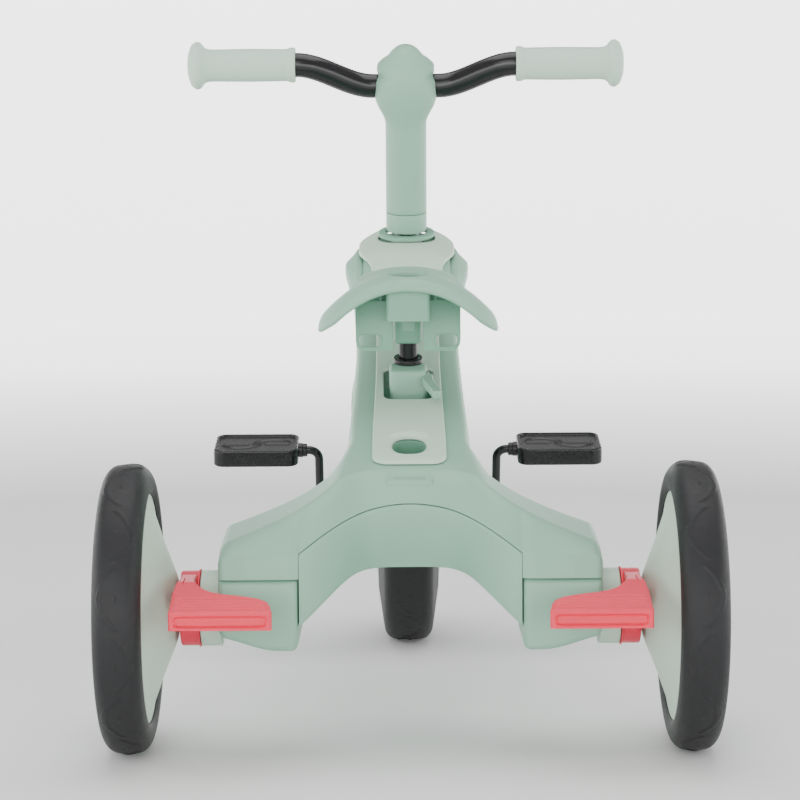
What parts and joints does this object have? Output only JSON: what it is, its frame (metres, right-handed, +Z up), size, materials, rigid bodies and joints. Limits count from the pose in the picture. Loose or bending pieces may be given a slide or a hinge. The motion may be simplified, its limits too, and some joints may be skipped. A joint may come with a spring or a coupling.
{
  "type": "ride-on tricycle",
  "caption": "Child's ride-on tricycle: moulded frame, dished rear wheels with foot brakes, steered front wheel with folding-up pedals, height-adjustable saddle and bent handlebar.",
  "frame": {"origin": "on the floor, at the middle of the tricycle's box", "axes": "+Y the way it rides, +X to the rider's right, +Z up"},
  "size_m": [0.4674, 0.7105, 0.5639],
  "materials": {
    "body_mint": "fine matt moulded plastic, soft mint green",
    "pale_mint": "fine matt moulded plastic, pale mint green",
    "deep_mint": "matt moulded plastic, deeper green",
    "grip_mint": "soft matt grip rubber, pale mint green",
    "tyre_black": "black foam-filled tyre with raised curved lines",
    "bar_black": "gloss black painted steel",
    "pedal_black": "satin black plastic",
    "brake_red": "satin coral red plastic",
    "steel": "plain zinc-plated steel",
    "bush_white": "natural white bearing plastic"
  },
  "bodies": {
    "frame": {"frame_upper_shell": "body_mint", "frame_lower_shell": "body_mint", "deck_panel": "pale_mint", "push_bar_socket": "deep_mint", "hood_cover": "pale_mint", "column_base_ring": "deep_mint", "hood_cheek_left": "body_mint", "hood_cheek_right": "body_mint", "arm_cap_left": "body_mint", "arm_cap_right": "body_mint", "rear_leg_left": "body_mint", "rear_leg_right": "body_mint", "axle_boss_left": "pale_mint", "axle_boss_right": "pale_mint", "rear_axle_left": "steel", "rear_axle_right": "steel", "axle_nut_left": "steel", "axle_nut_right": "steel", "head_tube": "steel", "head_bush_lower": "bush_white", "head_bush_upper": "bush_white", "seat_tube": "steel", "post_shim": "pedal_black", "seat_clamp": "body_mint", "clamp_bolt": "steel", "lever_pin": "steel"},
    "steering": {"steerer_tube": "steel", "column_collar": "body_mint", "stem_cover_front": "body_mint", "stem_cover_rear": "body_mint", "stem_screw": "steel", "handlebar": "bar_black", "grip_left": "grip_mint", "grip_right": "grip_mint", "fork": "body_mint", "fork_bush_left": "bush_white", "fork_bush_right": "bush_white"},
    "front_wheel": {"front_tyre": "tyre_black", "front_wheel_disc_left": "pale_mint", "front_wheel_disc_right": "pale_mint", "front_hub": "steel"},
    "seat": {"saddle": "body_mint", "seat_bracket": "deep_mint", "post_head": "deep_mint", "seat_post": "bar_black"},
    "seat_lever": {"release_lever": "body_mint"},
    "rear_wheel_left": {"rear_tyre_left": "tyre_black", "rear_wheel_dish_left": "pale_mint", "rear_wheel_cap_left": "pale_mint", "rear_wheel_bush_left": "bush_white"},
    "brake_left": {"brake_lever_left": "brake_red"},
    "crank_arm_left": {"crank_left": "bar_black"},
    "pedal_block_left": {"pedal_left": "pedal_black"},
    "rear_wheel_right": {"rear_tyre_right": "tyre_black", "rear_wheel_dish_right": "pale_mint", "rear_wheel_cap_right": "pale_mint", "rear_wheel_bush_right": "bush_white"},
    "brake_right": {"brake_lever_right": "brake_red"},
    "crank_arm_right": {"crank_right": "bar_black"},
    "pedal_block_right": {"pedal_right": "pedal_black"}
  },
  "joints": [
    {"name": "rear_wheel_left_spin", "type": "hinge", "parent": "frame", "child": "rear_wheel_left", "pos_m": [-0.2157, -0.24425, 0.111], "axis": [1, 0, 0], "continuous": true},
    {"name": "brake_left_press", "type": "hinge", "parent": "frame", "child": "brake_left", "pos_m": [-0.16, -0.24425, 0.111], "axis": [1, 0, 0], "range_deg": [0, 12]},
    {"name": "rear_wheel_right_spin", "type": "hinge", "parent": "frame", "child": "rear_wheel_right", "pos_m": [0.2157, -0.24425, 0.111], "axis": [1, 0, 0], "continuous": true},
    {"name": "brake_right_press", "type": "hinge", "parent": "frame", "child": "brake_right", "pos_m": [0.16, -0.24425, 0.111], "axis": [1, 0, 0], "range_deg": [0, 12]},
    {"name": "steer", "type": "hinge", "parent": "frame", "child": "steering", "pos_m": [0, 0.23275, 0.1225], "axis": [0, -0.2419, 0.9703], "range_deg": [-35, 35]},
    {"name": "front_wheel_spin", "type": "hinge", "parent": "steering", "child": "front_wheel", "pos_m": [0, 0.23275, 0.1225], "axis": [1, 0, 0], "continuous": true},
    {"name": "crank_left_turn", "type": "hinge", "parent": "steering", "child": "crank_arm_left", "pos_m": [0, 0.23275, 0.1225], "axis": [1, 0, 0], "continuous": true},
    {"name": "pedal_left_turn", "type": "hinge", "parent": "crank_arm_left", "child": "pedal_block_left", "pos_m": [-0.1425, 0.20206, 0.18542], "axis": [1, 0, 0], "continuous": true},
    {"name": "crank_right_turn", "type": "hinge", "parent": "steering", "child": "crank_arm_right", "pos_m": [0, 0.23275, 0.1225], "axis": [1, 0, 0], "continuous": true},
    {"name": "pedal_right_turn", "type": "hinge", "parent": "crank_arm_right", "child": "pedal_block_right", "pos_m": [0.1425, 0.20206, 0.18542], "axis": [1, 0, 0], "continuous": true},
    {"name": "seat_height", "type": "slide", "parent": "frame", "child": "seat", "axis": [0, -0.2588, 0.9659], "range_m": [-0.012, 0.03]},
    {"name": "seat_lever_swing", "type": "hinge", "parent": "frame", "child": "seat_lever", "pos_m": [0.0157, -0.08057, 0.27461], "axis": [0, -0.2588, 0.9659], "range_deg": [0, 140]}
  ]
}
